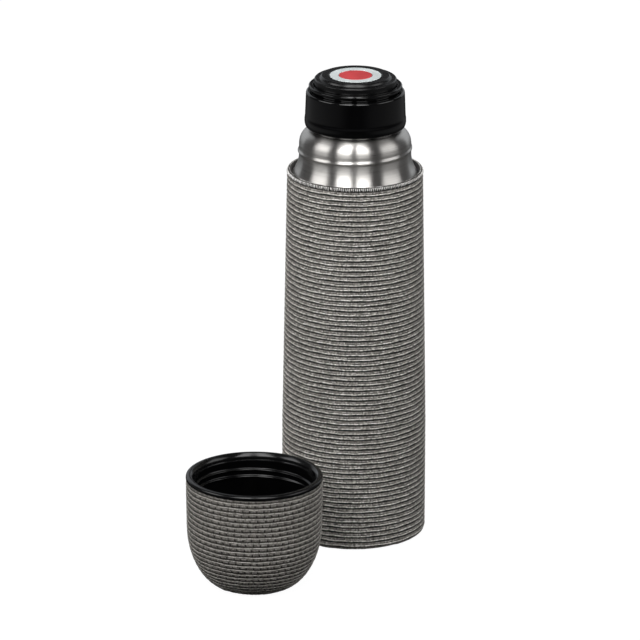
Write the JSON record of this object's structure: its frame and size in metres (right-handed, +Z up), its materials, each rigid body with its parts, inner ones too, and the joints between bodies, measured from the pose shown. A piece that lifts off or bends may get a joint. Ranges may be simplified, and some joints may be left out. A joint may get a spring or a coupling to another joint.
{
  "type": "vacuum flask",
  "caption": "Slim steel vacuum flask in a stitched fabric sleeve, with a push-button pouring stopper and a matching drinking cup standing beside it.",
  "frame": {"origin": "centre of the flask's flat underside, on the ground", "axes": "+Z up along the flask's axis; the cup stands towards -X and -Y; the stopper's latch end is towards +X"},
  "size_m": [0.1201, 0.1514, 0.2403],
  "materials": {
    "brushed_steel": "brushed round the axis",
    "sleeve_fabric": "coarse horizontal stitched rows with silvery glints",
    "cup_fabric": "the same stitched rows, darker and more matt",
    "black_gloss_plastic": "glossy moulded",
    "black_satin_plastic": "satin moulded",
    "pale_inlay": "smooth",
    "red_inlay": "smooth",
    "clear_silicone": "milky silicone",
    "seal_rubber": "matt",
    "base_rubber": "matt",
    "reflective_foil": "bright foil",
    "getter_metal": "sintered",
    "solder": "dull solder",
    "spring_steel": "drawn wire"
  },
  "bodies": {
    "flask": {"base_pad": "base_rubber", "outer_bottom": "brushed_steel", "outer_shell": "brushed_steel", "inner_vessel": "brushed_steel", "inner_bottom": "brushed_steel", "reflective_foil": "reflective_foil", "getter": "getter_metal", "vacuum_seal": "solder", "body_sleeve": "sleeve_fabric"},
    "stopper_seal": {"plug_gasket": "clear_silicone"},
    "stopper": {"stopper_shell": "black_gloss_plastic", "stopper_plug": "black_satin_plastic", "stem_o_ring": "seal_rubber", "main_spring": "spring_steel"},
    "button": {"push_button": "black_gloss_plastic", "button_ring_inlay": "pale_inlay", "button_disc_inlay": "red_inlay", "valve_stem": "black_satin_plastic", "valve_disc": "black_satin_plastic", "valve_seal": "clear_silicone"},
    "release_ring": {"release_ring": "black_gloss_plastic"},
    "latch": {"latch_plate": "black_satin_plastic"},
    "cup": {"cup_sleeve": "cup_fabric", "cup_liner": "black_gloss_plastic", "cup_base_disc": "black_satin_plastic"}
  },
  "joints": [
    {"name": "cup_lift", "type": "slide", "parent": "flask", "child": "cup", "axis": [0, 0, 1], "range_m": [0, 0.25]},
    {"name": "stopper_rise", "type": "slide", "parent": "flask", "child": "stopper_seal", "axis": [0, 0, 1], "range_m": [0, 0.0075]},
    {"name": "stopper_turn", "type": "hinge", "parent": "stopper_seal", "child": "stopper", "pos_m": [0, 0, 0.2], "axis": [0, 0, 1], "range_deg": [0, 540]},
    {"name": "button_press", "type": "slide", "parent": "stopper", "child": "button", "axis": [0, 0, -1], "range_m": [0, 0.0033], "stiffness_N_per_m": 900, "springref_m": -0.004, "deforming": ["main_spring"]},
    {"name": "ring_press", "type": "slide", "parent": "stopper", "child": "release_ring", "axis": [0, 0, -1], "range_m": [0, 0.0009], "stiffness_N_per_m": 600, "springref_m": -0.002},
    {"name": "latch_slide", "type": "slide", "parent": "stopper", "child": "latch", "axis": [-1, 0, 0], "range_m": [0, 0.0009]}
  ],
  "couplings": [
    {"joint": "stopper_turn", "follows": "stopper_rise", "rad_per_m": 1256.6},
    {"joint": "latch_slide", "follows": "ring_press", "ratio": 1}
  ]
}
